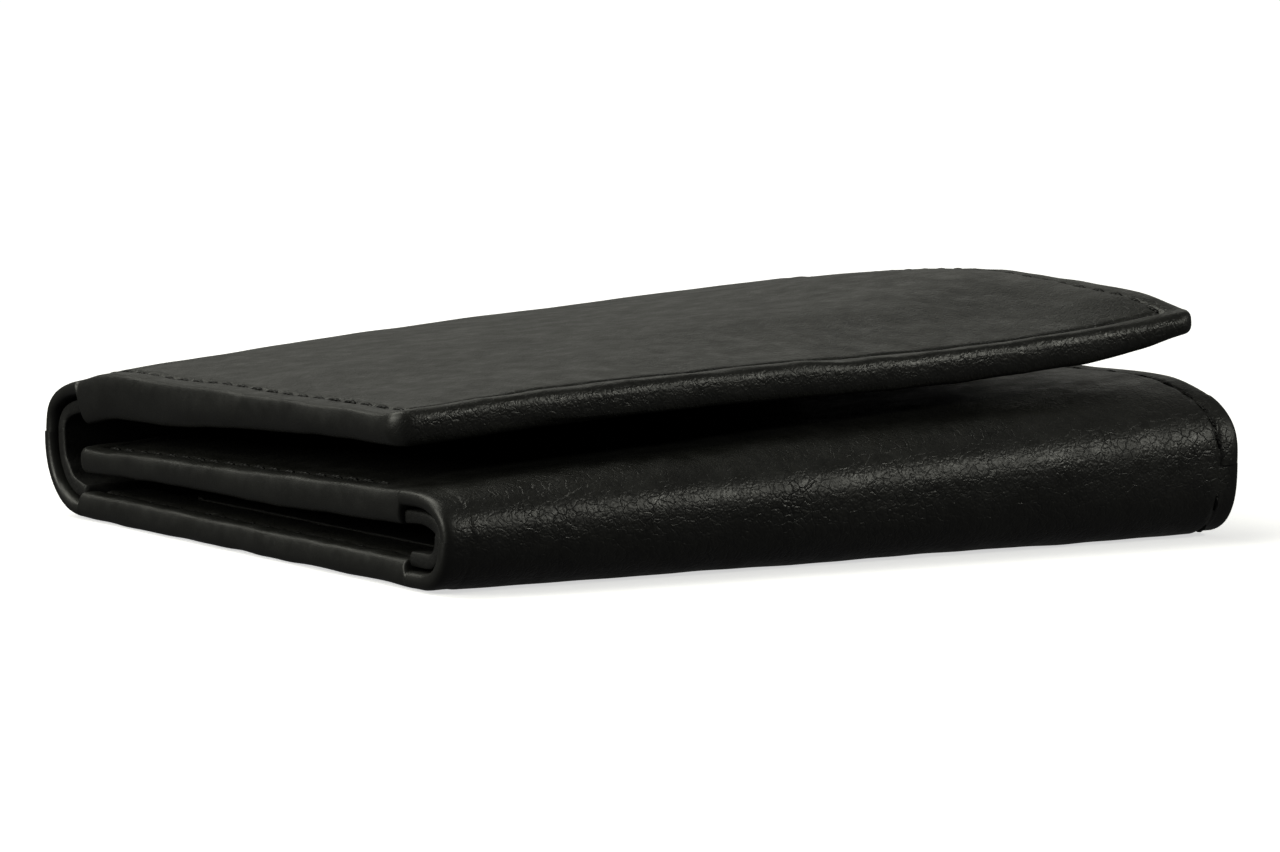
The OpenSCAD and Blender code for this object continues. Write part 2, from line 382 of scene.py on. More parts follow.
def stations(stops: list[tuple[float, float]]) -> Array:
    """Values from one stop to the next, each stretch with its own spacing.

    Args:
        stops: Pairs of (value, spacing up to the next stop); the last spacing isn't used.

    Returns:
        Rising values without repeats.
    """
    parts = [np.linspace(a, b, max(1, round((b - a) / gap)), endpoint=False)
             for (a, gap), (b, _) in zip(stops[:-1], stops[1:])]
    return np.concatenate(parts + [np.array([stops[-1][0]])])


def ring_quads(index: Array) -> list:
    """Four-sided faces between closed rings of points, given as rows of indices."""
    right = np.roll(index, -1, axis=1)
    return np.stack([index[:-1], right[:-1], right[1:], index[1:]], -1).reshape(-1, 4).tolist()


def edge_roundness(distance: Array, radius: float) -> Array:
    """How far a rounded edge has opened: 0 at the edge, 1 at radius in from it, by a
    superellipse, (1 - (1 - d/r)^p)^(1/p)."""
    t = np.clip(distance / radius, 0, 1)
    return (1 - (1 - t) ** RIM_POWER) ** (1 / RIM_POWER)


@dataclass
class Loft:
    """A closed layer of the wrap: a flat loop of points across the folds at every station along
    a run, from an upper depth to a lower one, with rounded sides and rounded or square ends."""

    wrap: Wrap
    run: Run
    rows: Array
    columns: Array
    half: float
    side_round: float
    end_round: float
    corner: float = 0.0
    pinched: tuple[bool, bool] = (True, True)
    rim_steps: int = 5

    def widths(self, start: Array) -> tuple[Array, Array]:
        """X and height factor of the points from the -X rim's middle to the +X rim's middle.

        The rim is a superellipse between the side and side_round in from it.

        Args:
            start: Half width at each station, shape (rows, 1).

        Returns:
            X, shape (rows, points), and the height factor, 0 at the rim's middle and 1 on the
            faces, shape (points,).
        """
        turn = np.linspace(0, math.pi / 2, self.rim_steps + 2)[:-1]
        out, up = np.cos(turn) ** (2 / RIM_POWER), np.sin(turn) ** (2 / RIM_POWER)
        face = np.concatenate([-self.columns[::-1], self.columns[1:]])
        height = np.concatenate([up, np.ones(face.size), up[::-1]])
        rim = start - self.side_round + self.side_round * out
        reach = start - self.side_round
        shrink = self.columns[-1] - reach
        near_side = smooth_step((np.abs(face) / self.columns[-1] - 0.6) / 0.4)
        faces = face - np.sign(face) * shrink * near_side
        return np.concatenate([-rim, faces, rim[:, ::-1]], axis=1), height

    def from_ends(self) -> list[Array]:
        """Distances of the stations from each pinched end."""
        gaps = (self.rows - self.rows[0], self.rows[-1] - self.rows)
        return [gap for used, gap in zip(self.pinched, gaps) if used]

    def half_width(self, widen: Array | float) -> Array:
        """Half width at each station, with the plan corners rounded off at pinched ends."""
        width = np.full(self.rows.size, self.half) + widen
        for gap in self.from_ends():
            left = np.clip(self.corner - gap, 0, None)
            width = width - (self.corner - np.sqrt(self.corner ** 2 - left ** 2))
        return width[:, None]

    def build(self, name: str, upper, lower, widen: Array | float = 0.0) -> Object:
        """Makes the layer.

        Args:
            name: Name of the piece.
            upper: Function of x and s that gives the depth of the outer side.
            lower: The same for the inner side.
            widen: Added to the half width at each station.

        Returns:
            The piece.
        """
        x, height = self.widths(self.half_width(widen))
        s = np.broadcast_to(self.rows[:, None], x.shape)
        open_by = math.prod(edge_roundness(gap, self.end_round) for gap in self.from_ends())
        top, bottom = upper(x, s), lower(x, s)
        lift = height[None, :] * (open_by * np.ones(self.rows.size))[:, None]
        middle = (top + bottom) / 2
        outer, inner = (self.wrap.inward(self.run, x, s, middle + (side - middle) * lift)
                        for side in (top, bottom))
        loops = np.concatenate([outer, inner[:, -2:0:-1]], axis=1)
        size = loops.shape[1]
        index = np.arange(loops.shape[0] * size).reshape(loops.shape[:2])
        partner = np.minimum(np.arange(size), (size - np.arange(size)) % size)
        for used, row in zip(self.pinched, (0, -1)):
            if used:
                index[row] = index[row][partner]
        quads = ring_quads(index)
        faces = [f for f in (tuple(dict.fromkeys(q)) for q in quads) if len(f) > 2]
        faces += [tuple(index[row].tolist()) for used, row in zip(self.pinched, (0, -1)) if not used]
        piece = make_piece(name, loops.reshape(-1, 3), faces)
        piece.data.set_sharp_from_angle(angle=math.radians(50))
        return piece


@dataclass(frozen=True)
class Bend:
    """A crease that a layer crosses: the two bodies either side of it, a slanting direction across
    it, and the distances along that direction where the crossing starts and ends."""

    first: str
    second: str
    direction: tuple[float, float, float]
    start: float
    end: float

    def apply(self, piece: Object) -> None:
        """Works out the crease's start and end points and bakes the piece's transform; the piece is not
        bent.
        """
        way = Vector(self.direction)
        start, end = (way * (mark * MM / way.length_squared) for mark in (self.start, self.end))
        tuple(start)
        tuple(end)
        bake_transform(piece)


def read_bends(wrap: Wrap) -> dict[Run, Bend]:
    """The bend of each run, across the crease that it goes round.

    Args:
        wrap: The wrap.

    Returns:
        A bend for every run.
    """
    rear, front = wrap.spine, wrap.fold
    bends = {}
    for run, first, second, fold, height, side, before, after in (
            (Run.FLAP, "spine", "flap", rear, rear.high_mid, -1, 1.8, 2.2),
            (Run.CENTRE_REAR, "centre", "spine", rear, rear.low_mid, 1, 2.1, 2.4),
            (Run.CENTRE_FRONT, "centre", "front_fold", front, front.low_mid, -1, 2.8, 3.0),
            (Run.INNER, "front_fold", "inner_panel", front, front.high_mid, 1, 3.8, 3.5)):
        crease = side * fold.y + height
        bends[run] = Bend(first, second, (-fold.slope, side, 1), crease - before, crease + after)
    return bends


# ---------------- finishes


class Nodes:
    """A material's node tree, with short ways to add and join nodes."""

    def __init__(self, name: str) -> None:
        """Starts a material that holds only its output and its shader."""
        self.material = bpy.data.materials.new(name)
        self.material.use_nodes = True
        self.tree = self.material.node_tree
        self.shader = self.tree.nodes["Principled BSDF"]

    def add(self, kind: str, inputs: dict | None = None, **settings) -> bpy.types.Node:
        """Adds a node.

        Args:
            kind: Blender's type name without "ShaderNode".
            inputs: Value or output socket for each named or numbered input.
            settings: Properties of the node.

        Returns:
            The node.
        """
        node = self.tree.nodes.new("ShaderNode" + kind)
        for key, value in settings.items():
            setattr(node, key, value)
        self.fill(node, inputs or {})
        return node

    def fill(self, node: bpy.types.Node, inputs: dict) -> None:
        """Joins a socket to an input of the node, or sets its value."""
        for key, value in inputs.items():
            if isinstance(value, Socket):
                self.tree.links.new(value, node.inputs[key])
            else:
                node.inputs[key].default_value = value

    def place(self, scale: tuple[float, float, float] = (1, 1, 1)) -> Socket:
        """Object coordinates in millimetres, times scale."""
        source = self.add("TexCoord").outputs["Object"]
        return self.add("Mapping", {"Vector": source, "Scale": [1000 * k for k in scale]}).outputs[0]

    def noise(self, at: Socket, size: float, detail: float = 2.0, rough: float = 0.5) -> Socket:
        """Cloudy noise of that size in millimetres, from about 0.2 to 0.8."""
        return self.add("TexNoise", {"Vector": at, "Scale": 1 / size, "Detail": detail,
                                     "Roughness": rough}).outputs["Fac"]

    def cells(self, at: Socket, size: float, feature: str = "SMOOTH_F1") -> Socket:
        """Distance in a pattern of cells of that size in millimetres."""
        node = self.add("TexVoronoi", {"Vector": at, "Scale": 1 / size}, feature=feature)
        return node.outputs["Distance"]

    def maths(self, kind: str, a, b=0.0) -> Socket:
        """A sum or other operation of two sockets or numbers."""
        return self.add("Math", {0: a, 1: b}, operation=kind).outputs[0]

    def times(self, a, b) -> Socket:
        """A product of two sockets or numbers."""
        return self.maths("MULTIPLY", a, b)

    def rest(self, a: Socket) -> Socket:
        """What is left of 1."""
        return self.maths("SUBTRACT", 1.0, a)

    def spread(self, value: Socket, low: float, high: float, to_low: float = 0.0,
               to_high: float = 1.0) -> Socket:
        """The stretch from low to high, carried to to_low and to_high and held there."""
        return self.add("MapRange", {"Value": value, "From Min": low, "From Max": high,
                                     "To Min": to_low, "To Max": to_high}).outputs[0]

    def mix(self, share, first, second) -> Socket:
        """A mix of two colours."""
        first, second = (k if isinstance(k, Socket) else (*k, 1.0) for k in (first, second))
        return self.add("Mix", {0: share, 6: first, 7: second}, data_type="RGBA").outputs[2]

    def bump(self, height: Socket, depth: float, under: Socket | None = None) -> Socket:
        """A bump whose height of 1 stands for depth in millimetres, over another bump."""
        inputs = {"Height": height, "Distance": depth * MM, "Strength": 1.0}
        if under is not None:
            inputs["Normal"] = under
        return self.add("Bump", inputs).outputs[0]

    def finish(self, colour, roughness, normal: Socket, **fixed: float) -> Material:
        """Joins the shader's inputs and sets its fixed ones.

        Args:
            colour: Colour socket.
            roughness: Roughness socket.
            normal: Normal socket.
            fixed: Fixed values, with _ for each space in the socket's name.

        Returns:
            The material.
        """
        self.fill(self.shader, {"Base Color": colour, "Roughness": roughness, "Normal": normal})
        self.fill(self.shader, {key.replace("_", " "): value for key, value in fixed.items()})
        return self.material


def shade(colour: Colour, factor: float) -> Colour:
    """A colour times a factor."""
    return tuple(factor * k for k in colour)


@dataclass(frozen=True)
class Leather:
    """Satin leather with a pebbled grain, fine cracks along it and worn, glossier margins."""

    name: str
    colour: Colour
    light: Colour
    roughness: float
    grain: float
    cracks: float
    grain_size: float
    specular: float

    def material(self) -> Material:
        """The finish as nodes.

        The place is first pushed about by noise so that the cells aren't regular. The grain is
        two sizes of rounded cells. The cracks are the lines between larger cells, shown only in
        patches. "margin" on the mesh is 1 along sewn edges, where the skin is rubbed and crinkled,
        and "turned" is 1 round the panels' ends, where it is stretched smooth.
        """
        n = Nodes(self.name)
        at = n.place()
        push = n.add("TexNoise", {"Vector": at, "Scale": 0.9, "Detail": 1.0}).outputs["Color"]
        push = n.add("VectorMath", {0: push, "Scale": 0.9}, operation="SCALE").outputs[0]
        at = n.add("VectorMath", {0: at, 1: push}, operation="ADD").outputs[0]
        margin = n.add("Attribute", attribute_name="margin").outputs["Fac"]
        turned = n.add("Attribute", attribute_name="turned").outputs["Fac"]
        open_skin = n.rest(n.times(turned, 0.82))
        size = self.grain_size
        lines = n.spread(n.cells(at, size * 1.9, "DISTANCE_TO_EDGE"), 0.0, 0.075, 1.0, 0.0)
        patches = n.spread(n.noise(at, 11.0, 3.0), 0.36, 0.66, 0.1, 1.0)
        pebbles = n.times(n.spread(n.cells(at, size), 0.05, 0.75, 1.0, 0.0), open_skin)
        fine = n.times(n.spread(n.cells(at, size * 0.42), 0.05, 0.8, 1.0, 0.0), open_skin)
        cracked = n.times(n.times(n.times(lines, patches), open_skin), n.rest(n.times(margin, 0.6)))
        crinkle = n.times(n.noise(at, 1.7, 2.5, 0.6), margin)
        normal = None
        for height, depth in ((n.noise(at, 5.5, 2.0), 0.06 * self.grain), (pebbles, 0.032 * self.grain),
                              (fine, 0.045 * self.grain), (n.rest(cracked), 0.042 * self.cracks),
                              (crinkle, 0.05 * self.grain)):
            normal = n.bump(height, depth, normal)
        # Colour for painted shade: the leather's own colour at 0.45.
        painted_shade = shade(self.colour, 0.45)
        colour = n.mix(n.spread(n.noise(at, 14.0, 3.0), 0.3, 0.72), self.colour, self.light)
        # Painted shade: darker in the cracks.
        colour = n.mix(n.times(cracked, 0.7), colour, painted_shade)
        # Painted shade: darker where the pebble height is low, in the hollows between the pebbles.
        colour = n.mix(n.spread(pebbles, 0.55, 0.15, 0.0, 0.45), colour, painted_shade)
        low, high = self.roughness - 0.07, self.roughness + 0.11
        rough = n.spread(n.noise(at, 3.0, 4.0, 0.62), 0.3, 0.7, low, high)
        rough = n.maths("SUBTRACT", rough, n.times(margin, 0.02))
        return n.finish(colour, rough, normal, Specular_IOR_Level=self.specular, Coat_Weight=0.0)


@dataclass(frozen=True)
class Weave:
    """Plain woven cloth or tape: two sets of threads, each over and under the other."""

    name: str
    colour: Colour
    pitch: float
    depth: float
    roughness: float = 0.85

    def material(self) -> Material:
        """The finish as nodes.

        The height is |sin| across each thread, times which thread lies on top, a chequerboard
        of the same pitch.
        """
        n = Nodes(self.name)
        at = n.place()
        split = n.add("SeparateXYZ", {0: at})
        turn = math.pi / self.pitch
        signs = [n.maths("SINE", n.times(split.outputs[k], turn)) for k in (0, 1)]
        waves = [n.maths("ABSOLUTE", sign) for sign in signs]
        over = n.spread(n.times(signs[0], signs[1]), -0.12, 0.12)
        height = n.maths("ADD", n.times(waves[0], over), n.times(waves[1], n.rest(over)))
        fuzz = n.noise(at, 0.25, 3.0)
        normal = n.bump(fuzz, 0.03, n.bump(height, self.depth))
        # Darker where the weave height is low, between and under the threads: painted shade.
        colour = n.mix(n.spread(height, 0.1, 0.9), shade(self.colour, 0.4), self.colour)
        colour = n.mix(n.spread(n.noise(at, 7.0), 0.3, 0.7, 0.0, 0.35), colour, shade(self.colour, 1.5))
        rough = n.spread(fuzz, 0.3, 0.7, self.roughness - 0.05, min(1.0, self.roughness + 0.08))
        return n.finish(colour, rough, normal, Specular_IOR_Level=0.25, Sheen_Weight=0.15)


@dataclass(frozen=True)
class Thread:
    """Waxed thread: strands that wind round at a slant."""

    name: str
    colour: Colour

    def material(self) -> Material:
        """The finish as nodes: slanting ridges 0.3 mm apart, with wax that makes it uneven."""
        n = Nodes(self.name)
        at = n.place()
        ridges = n.add("TexWave", {"Vector": at, "Scale": 1.05, "Distortion": 1.2, "Detail": 1.0},
                       bands_direction="DIAGONAL").outputs["Fac"]
        normal = n.bump(ridges, 0.09)
        # Darker in the grooves between the slanting ridges: painted shade.
        colour = n.mix(ridges, shade(self.colour, 0.4), self.colour)
        rough = n.spread(n.noise(at, 0.6, 2.0), 0.3, 0.7, 0.42, 0.62)
        return n.finish(colour, rough, normal, Specular_IOR_Level=0.25)


@dataclass(frozen=True)
class Board:
    """Grey fibre board: matt, with specks and short fibres."""

    name: str
    colour: Colour

    def material(self) -> Material:
        """The finish as nodes: fine specks over larger clouds, and a paper-like roughness."""
        n = Nodes(self.name)
        at = n.place()
        fibres = n.noise(n.place((0.4, 1.6, 1.0)), 0.7, 5.0, 0.7)
        colour = n.mix(n.spread(fibres, 0.35, 0.65), shade(self.colour, 0.7), self.colour)
        rough = n.spread(n.noise(at, 1.2), 0.3, 0.7, 0.82, 0.95)
        return n.finish(colour, rough, n.bump(fibres, 0.05), Specular_IOR_Level=0.2)


class Finishes:
    """Every finish of the card holder, made once. Of the leathers, the outer one is the blackest
    and has the strongest grain; the pockets' is a little lighter, and the lining's is flatter."""

    def __init__(self) -> None:
        """Makes the finishes."""
        self.outer = Leather("outer_leather", (0.0075, 0.0076, 0.0066), (0.0130, 0.0132, 0.0114),
                             0.40, 0.9, 1.0, 0.68, 0.42).material()
        self.lining = Leather("lining_leather", (0.0070, 0.0070, 0.0068), (0.0120, 0.0120, 0.0115),
                              0.50, 0.5, 0.4, 0.6, 0.28).material()
        self.pocket = Leather("pocket_leather", (0.0090, 0.0090, 0.0086), (0.0150, 0.0150, 0.0142),
                              0.46, 0.6, 0.5, 0.65, 0.30).material()
        self.liner = Weave("liner_cloth", (0.016, 0.016, 0.018), 0.45, 0.06).material()
        self.tape = Weave("fold_tape", (0.05, 0.05, 0.05), 0.6, 0.08).material()
        self.thread = Thread("waxed_thread", (0.006, 0.006, 0.006)).material()
        self.board = Board("fibre_board", (0.32, 0.28, 0.22)).material()


# ---------------- the parts of the card holder


@dataclass
class Part:
    """What every part of the card holder shares: the wrap, its bends and the finishes."""

    wrap: Wrap
    bends: dict[Run, Bend]
    finishes: Finishes

    def dress(self, piece: Object, finish: Material, slot: str, nodes: tuple[str, ...],
              moves_with: str | Run) -> None:
        """Gives a piece its finish, hides the nodes that it stands for and parents it to its body; a piece
        of a run only has its transform baked, and the slot is only logged.

        Args:
            piece: The piece.
            finish: Its material.
            slot: Name of its material slot in the record.
            nodes: CAD nodes that it stands for.
            moves_with: The body that it rides, or the run whose crease it crosses.
        """
        piece.data.materials.append(finish)
        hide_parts(*nodes)
        if isinstance(moves_with, Run):
            self.bends[moves_with].apply(piece)
        else:
            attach(piece, moves_with)
        LOG.info("%-28s %7d faces  %s", piece.name, len(piece.data.polygons), slot)


@dataclass
class OuterLeather(Part):
    """The outer leather, turned over the edges of each panel as a hem and left as a thin rolled
    lip round each fold, where the hem is notched out."""

    hem_end: float = 9.0
    lip: float = 1.9
    floor: float = 1.85
    side_round: float = 1.15
    corner: float = 2.5
    groove: float = 0.34

    def columns(self) -> Array:
        """Distances from the middle at which a loop has points: close by the seam and the hem."""
        seam = self.wrap.half_x - SEAM_IN
        hem = self.wrap.half_x - self.hem_end
        return stations([(0, 1.3), (hem - 0.9, 0.35), (hem - 0.2, 0.12), (hem + 0.18, 0.6),
                         (seam - 1.5, 0.3), (seam - 0.5, 0.11), (seam + 0.5, 0.3),
                         (self.wrap.half_x - self.side_round, 1)])

    def rows(self, run: Run) -> Array:
        """Stations along a run: close by the free edge, the seam, the hem's end and the notch."""
        notch, end = self.wrap.notch[run], self.wrap.run_end[run]
        edge = [(0, 0.04), (0.16, 0.12), (0.8, 0.35), (2.4, 0.11), (3.8, 0.5), (8.7, 0.1), (9.3, 0.9)]
        tail = [(notch - 1.2, 0.12), (notch + 1.2, 0.4), (end - 0.6, 0.08), (end, 1)]
        return stations((edge if run.free else [(0, 1.1)]) + tail)

    def panel_thickness(self, run: Run, x: Array, s: Array) -> Array:
        """Thickness at the hem, which grows where more layers are stitched in, and is least at
        the flap's far front corner."""
        if run is Run.FLAP:
            corner = 1.3 * bell((x - self.wrap.half_x) / 9) * bell(s / 7)
            return 3.7 + 1.8 * smooth_step((s - 14) / 52) - corner
        if run is Run.INNER:
            return 2.95 + 0.95 * smooth_step((s - 10) / 55)
        return 3.15 + 0 * s

    def thickness(self, run: Run, x: Array, s: Array) -> Array:
        """Thickness at the sides: the hem's, dropping to the lip's past the notch."""
        drop = smooth_step((s - self.wrap.notch[run] + 0.3) / 0.6)
        return self.panel_thickness(run, x, s) * (1 - drop) + self.lip * drop

    def seam_distance(self, run: Run, x: Array, s: Array) -> tuple[Array, Array]:
        """Distance to the seam, and how far outside it a point lies (0 inside it)."""
        side = self.wrap.half_x - SEAM_IN - np.abs(x)
        front = s - SEAM_IN if run.free else np.full_like(x, NO_EDGE)
        inside = np.minimum(side, front)
        outside = np.hypot(np.minimum(side, 0), np.minimum(front, 0))
        return np.where(inside > 0, inside, outside), outside

    def relief(self, run: Run, x: Array, s: Array) -> Array:
        """Height of the leather above the nominal face.

        A stitched groove, a puffed welt between it and the free edge, thinner margins outside it
        at the sides, a pucker at every stitch, a nick in the flap's welt, and soft ripples that
        are stronger by the edges.
        """
        near, outside = self.seam_distance(run, x, s)
        free = s if run.free else np.full_like(x, NO_EDGE)
        deep = (1 + 0.6 * bell((free - SEAM_IN) / 1.5)) * (1 - self.closing(run, x, s))
        pucker = 0.85 + 0.15 * np.cos(2 * math.pi * (s + x) / STITCH_PITCH)
        groove = -self.groove * deep * bell(near / SEAM_WIDTH) * pucker
        along_edge = bell(np.clip(free - 1.6, 0, None) / 1.0) * smooth_step(free / 1.2)
        y = self.wrap.point(run, x, s)[..., 1]
        welt = 0.16 * along_edge * (1 + 0.30 * ripple(x, s, 6.5, 21) + 0.16 * ripple(x, 0.4 * s, 3.0, 22))
        thinner = 0.10 + (0.22 * smooth_step(x / 40) if run is Run.CENTRE_FRONT else 0)
        side_margin = -thinner * smooth_step(outside / 0.8) * smooth_step((free - 3) / 3)
        edge = bell((self.wrap.half_x - np.abs(x)) / 5) + bell(free / 6)
        if run is Run.FLAP:
            welt = welt - 0.32 * bell((x - 7 - 0.2 * s) / 0.5) * bell(s / 2.6)
        wave = (0.025 + 0.03 * np.clip(edge, 0, 1)) * ripple(x, y, 7.5, 23)
        big = 0.06 * ripple(x, y, 21, 24)
        return groove + welt + side_margin + wave + big

    def closing(self, run: Run, x: Array, s: Array) -> Array:
        """How far the seam has closed up: 0.65 round the front fold's -X end, else 0."""
        if run.at_spine:
            return 0 * s
        return 0.65 * smooth_step((s - self.wrap.notch[run] + 12) / 10) * smooth_step(-x / 30)

    def run(self, run: Run) -> None:
        """Makes the leather of one run."""
        loft = Loft(self.wrap, run, self.rows(run), self.columns(), self.wrap.half_x, self.side_round,
                    self.side_round, self.corner if run.free else 0.0, (run.free, False))

        def upper(x: Array, s: Array) -> Array:
            """Depth of the outer face."""
            return -self.relief(run, x, s)

        def lower(x: Array, s: Array) -> Array:
            """Depth of the inner face: the hem's at the margins and the leather's within."""
            thick = self.thickness(run, x, s)
            margin = smooth_step((np.abs(x) - self.wrap.half_x + self.hem_end + 0.18) / 0.36)
            if run.free:
                margin = np.maximum(margin, 1 - smooth_step((s - self.hem_end + 0.15) / 0.3))
            near, _ = self.seam_distance(run, x, s)
            hem = thick - self.groove * bell(near / SEAM_WIDTH) + 0.05 * ripple(x, s, 6, 31)
            return self.floor + (hem - self.floor) * margin

        widen = 0.07 * ripple(loft.rows, 0 * loft.rows, 15, 41)
        piece = loft.build(run.piece("leather"), upper, lower, widen)
        self.mark_margin(piece, run)
        self.dress(piece, self.finishes.outer, "outer_leather", run.nodes("shell"), run)

    def mark_margin(self, piece: Object, run: Run) -> None:
        """Writes "margin", which is 1 on the welt of a free edge and dies away from it, and
        "turned", which is 1 where the leather is stretched round the ends of a panel."""
        at = np.empty(len(piece.data.vertices) * 3)
        piece.data.vertices.foreach_get("co", at)
        x, y, _ = (at.reshape(-1, 3) / MM).T
        if run is Run.FLAP:
            free = y - self.wrap.flap_front(x)
        elif run is Run.INNER:
            free = self.wrap.inner_edge - y
        else:
            free = np.full_like(x, NO_EDGE)
        side = self.wrap.half_x - np.abs(x)
        value = np.clip(bell(np.clip(free - 1.6, 0, None) / 0.8) + 0.05 * bell(side / 1.5), 0, 1)
        turned = smooth_step((1.9 - side) / 1.2)
        for name, values in (("margin", value), ("turned", turned)):
            layer = piece.data.attributes.new(name, "FLOAT", "POINT")
            layer.data.foreach_set("value", values.astype(np.float32))


@dataclass
class Lining(Part):
    """The lining: flat against the panels, and a second rolled lip inside each fold."""

    panel_in: float = 8.1
    fold_in: float = 0.8
    outer: float = 1.8
    inner: float = 2.15
    fold_outer: float = 2.35
    spine_inner: float = 4.0
    fold_inner: float = 3.9

    def run(self, run: Run) -> None:
        """Makes the lining of one run. Its depths and half width go from the panel's to the
        fold's by a smooth step over 1.8 mm, just short of the hem's notch."""
        turn, end = self.wrap.notch[run] - 0.2, self.wrap.run_end[run]
        deepest = self.spine_inner if run.at_spine else self.fold_inner
        start = 8.6 if run.free else 0.0
        rows = stations([(start, 0.1), (start + 0.4, 1.2), (turn - 2.5, 0.16), (turn + 1.0, 0.45),
                         (end - 0.5, 0.1), (end, 1)])
        half = self.wrap.half_x - self.panel_in
        columns = stations([(0, 1.6), (half - 1.5, 0.3), (half - 0.35, 1)])
        loft = Loft(self.wrap, run, rows, columns, half, 0.35, 0.25, 0.0, (run.free, False))

        def blend(s: Array) -> Array:
            """0 on the panel and 1 in the fold."""
            return smooth_step((s - turn + 1.6) / 1.8)

        def upper(x: Array, s: Array) -> Array:
            """Depth of the side against the leather."""
            return self.outer + (self.fold_outer - self.outer) * blend(s) + 0 * x

        def lower(x: Array, s: Array) -> Array:
            """Depth of the side that shows, with soft ripples."""
            at = self.wrap.point(run, x, s)
            flat = self.inner + (deepest - self.inner) * blend(s)
            return flat + (0.04 + 0.08 * blend(s)) * ripple(x, at[..., 1] + at[..., 2], 8, 51)

        piece = loft.build(run.piece("lining"), upper, lower, (self.panel_in - self.fold_in) * blend(rows))
        self.dress(piece, self.finishes.lining, "lining_leather", run.nodes("lining"), run)


class Panel(Enum):
    """The three panels. The value is (body, run, first station that the pockets reach, station
    of the longer pocket's mouth, which faces a fold)."""

    CENTRE = ("centre", Run.CENTRE_REAR, -34.6, 30.5)
    INNER = ("inner_panel", Run.INNER, 8.75, 69.5)
    FLAP = ("flap", Run.FLAP, 8.75, 67.0)


@dataclass
class Pockets(Part):
    """Each panel's two card pockets: a leather ply over a cloth liner, the front one shorter, with
    its mouth towards a fold."""

    half: float = 44.85
    stagger: float = 6.0
    bead: float = 0.22
    crease_in: float = 2.2

    def layer(self, panel: Panel, name: str, outer: float, inner: float, mouth: float,
              rests_on: str = "") -> None:
        """Makes one layer, a slab between two depths.

        A leather ply is turned at its mouth: it swells there by the bead, and a pressed line runs
        beside the mouth.

        Args:
            panel: The panel that it is sewn to.
            name: Name of the CAD node that it stands for.
            outer: Depth of the side against the panel.
            inner: Depth of the side that shows.
            mouth: Station of its mouth.
            rests_on: The piece that a cloth liner lies on; none for a leather ply.
        """
        body, run, first, _ = panel.value
        leather = not rests_on
        gap = 0.14 if leather else 0.3
        rows = stations([(first, 0.06), (first + 0.3, 1.6), (mouth - 3.2, 0.22), (mouth - 0.4, 0.06),
                         (mouth, 1)])
        columns = stations([(0, 1.8), (self.half - 2, 0.4), (self.half - gap, 1)])
        loft = Loft(self.wrap, run, rows, columns, self.half, gap, 0.28, 0.8, (True, True))

        def upper(x: Array, s: Array) -> Array:
            """Depth of the side against the panel."""
            return outer + 0 * x

        def lower(x: Array, s: Array) -> Array:
            """Depth of the side that shows."""
            wave = 0.03 * ripple(x, s, 14, len(name))
            if not leather:
                return inner + wave * 0.5
            bead = self.bead * bell((mouth - s) / 1.3)
            line = -0.10 * bell((mouth - s - self.crease_in) / 0.32)
            return inner + wave + bead + line

        piece = loft.build(name + ("_ply" if leather else "_cloth"), upper, lower)
        if leather:
            self.dress(piece, self.finishes.pocket, "pocket_leather", (name,), body)
        else:
            self.dress(piece, self.finishes.liner, "liner_fabric", (name,), body)

    def build(self) -> None:
        """Makes the four layers of each panel."""
        for panel in Panel:
            mouth, name = panel.value[3], panel.name.lower()
            front = mouth - self.stagger
            self.layer(panel, f"{name}_back_pocket", 2.36, 2.74, mouth)
            self.layer(panel, f"{name}_back_liner", 2.16, 2.34, mouth - 0.8, panel.value[1].piece("lining"))
            self.layer(panel, f"{name}_front_pocket", 2.98, 3.34, front)
            self.layer(panel, f"{name}_front_liner", 2.77, 2.95, front - 0.8, f"{name}_back_pocket_ply")


@dataclass
class Stiffeners(Part):
    """Fibre boards inside the three panels and woven tape round the two folds, all between the
    leather and the lining."""

    outer: float = 1.35
    inner: float = 1.75
    half: float = 47.0
    tape_half: float = 50.0
    tape_reach: float = 8.0

    def slab(self, name: str, run: Run, first: float, last: float, half: float, closed: bool) -> Object:
        """Makes a plain slab of a run, whose far end is rounded if closed."""
        rows = stations([(first, 0.1), (first + 0.3, 1.5), (last - 0.3, 0.1), (last, 1)])
        columns = stations([(0, 2.5), (half - 0.2, 1)])
        loft = Loft(self.wrap, run, rows, columns, half, 0.2, 0.25, 1.5, (True, closed), 2)
        return loft.build(name, lambda x, s: self.outer + 0 * x, lambda x, s: self.inner + 0 * x)

    def build(self) -> None:
        """Makes the three boards and the four halves of the two tapes."""
        for name, body, run, first, last in (
                ("centre_board", "centre", Run.CENTRE_REAR, -34.0, 34.0),
                ("inner_board", "inner_panel", Run.INNER, 3.0, 71.0),
                ("flap_board", "flap", Run.FLAP, 3.0, 69.0)):
            piece = self.slab(name + "_sheet", run, first, last, self.half, True)
            self.dress(piece, self.finishes.board, "board", (name,), body)
        for run in (Run.FLAP, Run.CENTRE_REAR, Run.INNER, Run.CENTRE_FRONT):
            end = self.wrap.run_end[run]
            start, stop = end - self.tape_reach, end - 0.02
            piece = self.slab(run.piece("tape"), run, start, stop, self.tape_half, False)
            node = "spine_tape" if run.at_spine else "fold_tape"
            self.dress(piece, self.finishes.tape, "tape", (node,), run)


